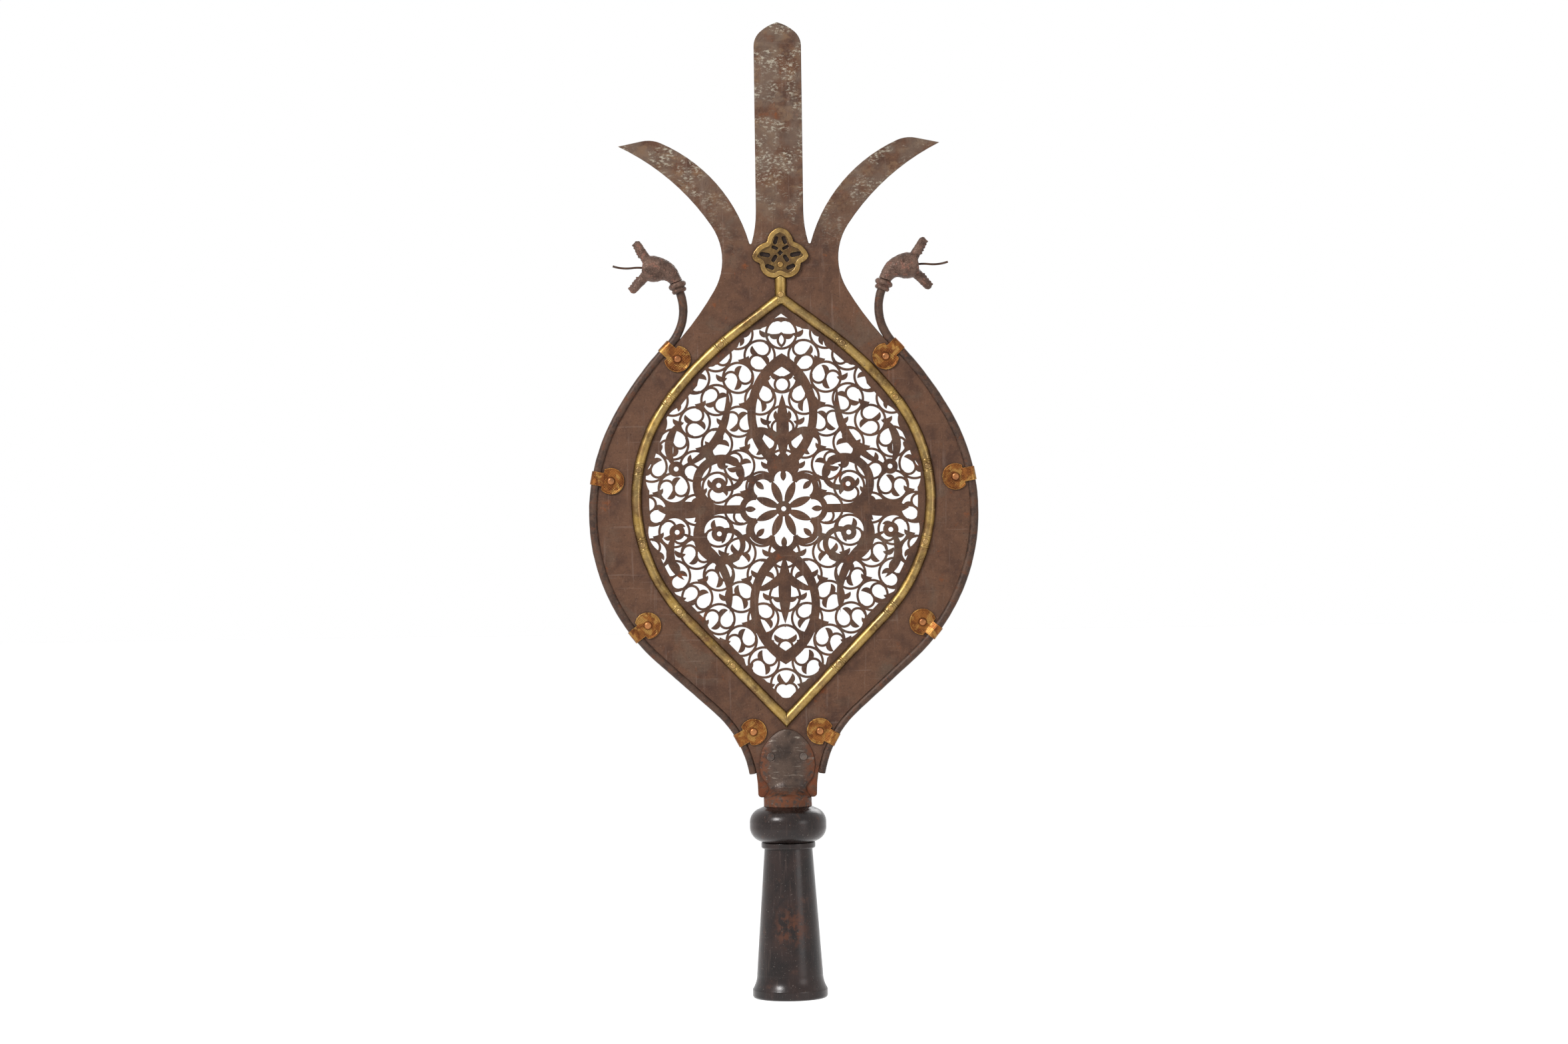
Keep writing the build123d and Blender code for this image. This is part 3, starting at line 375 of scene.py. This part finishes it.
def burnished_iron():
    """Turned socket and knop: dark brown, polished by hands, with faint streaks and one rust patch."""
    deep_brown = tint(24, 14, 12)
    dark_brown = tint(44, 28, 24)
    pit_brown = tint(34, 26, 25)
    streak_brown = tint(84, 66, 60)
    pale_fleck = tint(150, 138, 128)
    patch_rust = tint(104, 58, 34)
    stain_brown = tint(88, 56, 42)
    corner_grime_and_shade = tint(22, 17, 16)
    pale_edge = tint(128, 112, 104)

    iron = Finish("burnished_socket_iron")
    broad = iron.cloud(24, detail=4, warp=0.5).rise(*BROAD_PATCHES)
    fine = iron.cloud(1.4, detail=5, roughness=0.72)
    colour = iron.mix(deep_brown, dark_brown, broad)
    colour = iron.mix(colour, pit_brown, fine.fall(0.30, 0.46) * 0.6)
    streaks = iron.cloud(2.4, detail=4, stretch=(1, 1, 0.05)).rise(0.54, 0.70)
    colour = iron.mix(colour, streak_brown, streaks * 0.3)
    flecks = iron.cloud(1.2, detail=3).rise(0.66, 0.72)
    colour = iron.mix(colour, pale_fleck, flecks * 0.5)
    patch_across = iron.x.rise(-16, -4) * iron.x.fall(6, 20)
    patch_up = iron.z.rise(38, 56) * iron.z.fall(62, 84)
    patch = patch_across * patch_up * iron.cloud(6, detail=5).rise(0.40, 0.60)
    colour = iron.mix(colour, patch_rust, patch * 0.6)
    stain = iron.cloud(15, detail=5, roughness=0.7).rise(0.58, 0.72)
    colour = iron.mix(colour, stain_brown, stain * 0.5)
    # Grime and painted shade in the corners
    grime_and_shade = iron.hollows(3.0).rise(0.20, 0.75)
    colour = iron.mix(colour, corner_grime_and_shade, grime_and_shade * 0.8)
    # Edges rubbed paler by wear
    edge_paling = iron.edges(0.9).rise(0.03, 0.28)
    colour = iron.mix(colour, pale_edge, edge_paling * 0.45)
    roughness = 0.24 + 0.08 * broad + 0.25 * patch + 0.10 * stain + 0.12 * streaks
    height = 0.5 * iron.cloud(9, detail=2) + 0.08 * fine - 0.1 * flecks
    return iron.apply(colour, roughness, metallic=0.15, gloss=0.3, height=height, depth=0.4,
                      coat=0.2, coat_roughness=0.2)


def grey_leaf_iron():
    """Neck and leaf cheeks: grey hammered iron, scratched at the tip, rust along its edges."""
    dark_grey = tint(54, 42, 36)
    warm_grey = tint(84, 67, 57)
    pit_brown = tint(48, 38, 34)
    rubbed_grain = tint(158, 148, 138)
    scratch_grey = tint(176, 164, 150)
    edge_rust = tint(122, 68, 38)
    corner_grime_and_shade = tint(30, 22, 19)
    pale_edge = tint(176, 160, 146)

    iron = Finish("hammered_leaf_iron")
    broad = iron.cloud(12, detail=4, warp=0.5).rise(*BROAD_PATCHES)
    fine = iron.cloud(1.2, detail=5, roughness=0.7)
    colour = iron.mix(dark_grey, warm_grey, broad)
    colour = iron.mix(colour, pit_brown, fine.fall(0.30, 0.46) * 0.6)
    colour = iron.mix(colour, rubbed_grain, fine.rise(0.58, 0.74) * 0.4)
    scratch = iron.cloud(2.0, detail=3, stretch=(0.08, 1, 1), lean=12).rise(0.58, 0.70)
    tip = iron.z.rise(*LEAF_TIP)
    colour = iron.mix(colour, scratch_grey, scratch * (0.25 + 0.5 * tip))
    side = abs(iron.x).rise(*LEAF_SIDES) * iron.z.rise(*LEAF_FOOT)
    sides_and_neck = (side * 0.9 + iron.z.fall(*NECK) * 0.95).held()
    rusty = sides_and_neck * iron.cloud(3.4, detail=5).rise(0.36, 0.56)
    colour = iron.mix(colour, edge_rust, rusty * 0.7)
    # Grime and painted shade in the corners
    grime_and_shade = iron.hollows(2.4).rise(0.2, 0.75)
    colour = iron.mix(colour, corner_grime_and_shade, grime_and_shade * 0.8)
    # Edges rubbed paler by wear
    edge_paling = iron.edges(0.7).rise(0.04, 0.3)
    colour = iron.mix(colour, pale_edge, edge_paling * 0.5)
    roughness = 0.36 + 0.14 * broad + 0.22 * rusty - 0.08 * scratch
    height = 0.6 * iron.cloud(6, detail=2) + 0.15 * fine - 0.12 * scratch
    return iron.apply(colour, roughness, metallic=0.35, gloss=0.35, height=height, depth=0.7)


finishes = {
    "plate_steel": aged_steel(
        "brown_plate_steel", base=(96, 67, 50), dark=(73, 49, 38), warm=(128, 72, 40), speckled=True),
    "panel_steel": aged_steel(
        "brown_panel_steel", base=(91, 64, 48), dark=(69, 47, 37), warm=(130, 70, 38), speckled=False),
    "moulding_brass": aged_brass(
        "old_moulding_brass", base=(148, 118, 58), deep=(98, 72, 34), bright=(226, 198, 134)),
    "nail_brass": aged_brass(
        "rubbed_nail_brass", base=(158, 122, 66), deep=(98, 68, 34), bright=(234, 206, 144)),
    "boss_brass": aged_brass(
        "old_boss_brass", base=(150, 118, 62), deep=(100, 72, 36), bright=(226, 196, 132),
        recess=BOSS_RECESS),
    "clip_copper": gilt_copper(),
    "rivet_copper": aged_brass(
        "rubbed_rivet_copper", base=(164, 104, 58), deep=(118, 70, 38), bright=(236, 186, 126)),
    "rivet_iron": rough_iron(
        "grey_rivet_iron", base=(112, 100, 92), dark=(78, 66, 60), warm=(128, 84, 60), scales=False),
    "rod_iron": rough_iron(
        "forged_rod_iron", base=(92, 69, 56), dark=(62, 46, 38), warm=(110, 68, 47), scales=False),
    "head_iron": rough_iron(
        "chiselled_head_iron", base=(120, 94, 81), dark=(80, 59, 49), warm=(154, 108, 92), scales=True),
    "socket_iron": burnished_iron(),
}
leaf_iron = grey_leaf_iron()
slot_of = {entry["node"]: entry["material_slot"] for entry in frame["record"]["subparts"]}


def finish_of(node):
    """The finish of a piece: its slot's, but for the fork, whose leaf is greyer than the socket."""
    return leaf_iron if node == "socket_fork" else finishes[slot_of[node]]


for node, piece in nodes.items():
    for slot in piece.material_slots:
        slot.material = finish_of(node)


def dents(depth, size, seed, inward=0.0):
    """Uneven hammer marks, moved inward by a share of their depth, or outward where it is negative."""
    def height(place):
        broad = noise.noise(place / (size * MM) + Vector((seed, 0, 0)))
        close = noise.noise(place / (size * 0.4 * MM) + Vector((0, seed, 0)))
        return depth * MM * (0.35 * broad + 0.15 * close - inward)
    return height


def scaly(depth, size, seed):
    """Chiselled scales and knobs over uneven iron."""
    steepness = 2.2
    lump_size = 3.2 * size

    def height(place):
        nearest = noise.voronoi(place / (size * MM) + Vector((seed, 0, 0)))[0]
        ridge = min(1.0, (nearest[1] - nearest[0]) * steepness)
        lump = noise.noise(place / (lump_size * MM))
        return -depth * MM * (1.0 - ridge) - 0.5 * depth * MM * (0.5 + 0.5 * lump)
    return height


def hand_worked(node, voxel, height):
    """A closely meshed copy of a piece, marked by hammer and chisel, in place of the plain one."""
    piece = bpy.data.objects.new(f"worked_{node}", nodes[node].data.copy())
    bpy.context.scene.collection.objects.link(piece)
    remesh = piece.modifiers.new("skin", "REMESH")
    remesh.mode = "VOXEL"
    remesh.voxel_size = voxel * MM
    remesh.use_smooth_shade = True
    soften = piece.modifiers.new("soft_edges", "SMOOTH")
    soften.factor = 0.5
    soften.iterations = 1
    shaped = piece.evaluated_get(bpy.context.evaluated_depsgraph_get())
    mesh = bpy.data.meshes.new_from_object(shaped)
    piece.modifiers.clear()
    piece.data = mesh
    moved = [v.co + v.normal * height(v.co) for v in mesh.vertices]
    for vertex, place in zip(mesh.vertices, moved):
        vertex.co = place
    for polygon in mesh.polygons:
        polygon.use_smooth = True
    mesh.update()
    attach(piece, "root")
    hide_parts(node)
    mesh.materials.clear()
    mesh.materials.append(finish_of(node))


for count, side in enumerate(("left", "right")):
    hand_worked(f"dragon_head_{side}", voxel=0.4, height=scaly(0.28, 3.6, seed=5 + count))
    hand_worked(f"dragon_collar_{side}", voxel=0.3, height=dents(0.5, 4, seed=9 + count, inward=0.3))
    hand_worked(f"dragon_rod_{side}", voxel=0.45, height=dents(0.4, 9, seed=13 + count, inward=-0.5))
    for face in ("front", "back"):
        hand_worked(f"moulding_{face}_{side}", voxel=0.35, height=dents(0.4, 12, seed=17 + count))
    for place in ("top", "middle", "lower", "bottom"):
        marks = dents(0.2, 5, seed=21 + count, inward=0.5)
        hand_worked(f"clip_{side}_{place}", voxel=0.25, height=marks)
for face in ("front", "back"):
    hand_worked(f"boss_{face}", voxel=0.3, height=dents(0.5, 4, seed=27))
hand_worked("socket_fork", voxel=0.4, height=dents(0.6, 8, seed=31))


def looked_at(tree):
    """1 where a surface is looked at, mirrored or seen through glass, 0 for the light it gives."""
    path = tree.nodes.new("ShaderNodeLightPath")
    total = path.outputs["Is Camera Ray"]
    for ray in ("Is Glossy Ray", "Is Transmission Ray"):
        either = tree.nodes.new("ShaderNodeMath")
        either.operation = "MAXIMUM"
        tree.links.new(total, either.inputs[0])
        tree.links.new(path.outputs[ray], either.inputs[1])
        total = either.outputs[0]
    return total


def white_backdrop(tree, output, light_level):
    """Pure white where it is looked at or mirrored, a plain grey light for the rest."""
    level = tree.nodes.new("ShaderNodeMapRange")
    level.inputs["To Min"].default_value = light_level
    level.inputs["To Max"].default_value = 1.0
    tree.links.new(looked_at(tree), level.inputs["Value"])
    light = tree.nodes.new("ShaderNodeBackground")
    light.inputs["Color"].default_value = (1, 1, 1, 1)
    tree.links.new(level.outputs[0], light.inputs["Strength"])
    tree.links.new(light.outputs[0], output.inputs["Surface"])


AMBIENT = 0.22                  # strength of the grey light from all sides
scene = bpy.context.scene
world = bpy.data.worlds.new("studio")
world.use_nodes = True
world.node_tree.nodes.clear()
world_output = world.node_tree.nodes.new("ShaderNodeOutputWorld")
white_backdrop(world.node_tree, world_output, AMBIENT)
scene.world = world

# Pale floor, below the object, which a pole would hold up
FLOOR_HEIGHT = -0.25
FLOOR_REACH = 20.0
FLOOR_GLOW = 0.76               # only where it is looked at or mirrored
FLOOR_PATCH = 400               # millimetres across
FLOOR_GREY = (0.92, 0.92, 0.92, 1)
FLOOR_PALE = (0.95, 0.95, 0.95, 1)
turns = ((-1, -1), (1, -1), (1, 1), (-1, 1))
corners = [(x * FLOOR_REACH, y * FLOOR_REACH, FLOOR_HEIGHT) for x, y in turns]
floor_mesh = bpy.data.meshes.new("studio_floor")
floor_mesh.from_pydata(corners, [], [(0, 1, 2, 3)])
floor = bpy.data.objects.new("studio_floor", floor_mesh)
scene.collection.objects.link(floor)
paint = Finish("floor_paint")
paint_colour = paint.mix(FLOOR_GREY, FLOOR_PALE, paint.cloud(FLOOR_PATCH))
paint.apply(paint_colour, roughness=0.85, metallic=0.0, gloss=0.1)
seen = Signal(paint, looked_at(paint.tree))
glow = paint.node("ShaderNodeEmission", {}, {"Strength": FLOOR_GLOW})
both = paint.node("ShaderNodeAddShader", {}, {0: glow})
paint.tree.links.new(paint.surface.outputs[0], both.socket.node.inputs[1])
lit = paint.node("ShaderNodeMixShader", {}, {0: seen, 2: both})
paint.tree.links.new(paint.surface.outputs[0], lit.socket.node.inputs[1])
paint.tree.links.new(lit.socket, paint.tree.nodes["Material Output"].inputs["Surface"])
floor_mesh.materials.append(paint.material)


def lamp(name, place, size, power):
    """A soft square lamp that points at the middle of the object."""
    light = bpy.data.lights.new(name, "AREA")
    light.shape = "SQUARE"
    light.size = size
    light.energy = power
    holder = bpy.data.objects.new(name, light)
    holder.location = place
    aim = OBJECT_MIDDLE - Vector(place)
    holder.rotation_euler = aim.to_track_quat("-Z", "Y").to_euler()
    scene.collection.objects.link(holder)


OBJECT_MIDDLE = Vector((0.0, 0.0, 0.40))
lamp("key_lamp", (-1.7, -2.0, 2.1), size=0.8, power=72)
lamp("fill_lamp", (2.3, -2.2, 0.7), size=1.2, power=12)
lamp("back_lamp", (1.2, 2.6, 1.9), size=1.4, power=18)

# Camera of the photograph: level, square to the front, turned a little about its own axis
PHOTO_WIDTH = 2355              # pixels
PIXEL = 0.55 * MM               # one pixel of the photograph, on the object
DISTANCE = 3.3
SENSOR_WIDTH = 36
CAMERA_ACROSS = 0.1 * MM
CAMERA_HEIGHT = 392.7 * MM
ROLL = 0.8                      # degrees
camera_data = bpy.data.cameras.new("camera")
camera_data.sensor_width = SENSOR_WIDTH
camera_data.lens = SENSOR_WIDTH * DISTANCE / (PHOTO_WIDTH * PIXEL)
camera = bpy.data.objects.new("camera", camera_data)
camera.location = (CAMERA_ACROSS, -DISTANCE, CAMERA_HEIGHT)
camera.rotation_euler = (math.radians(90), math.radians(ROLL), 0)
scene.collection.objects.link(camera)
scene.camera = camera
scene.view_settings.view_transform = "Standard"

bpy.context.view_layer.update()
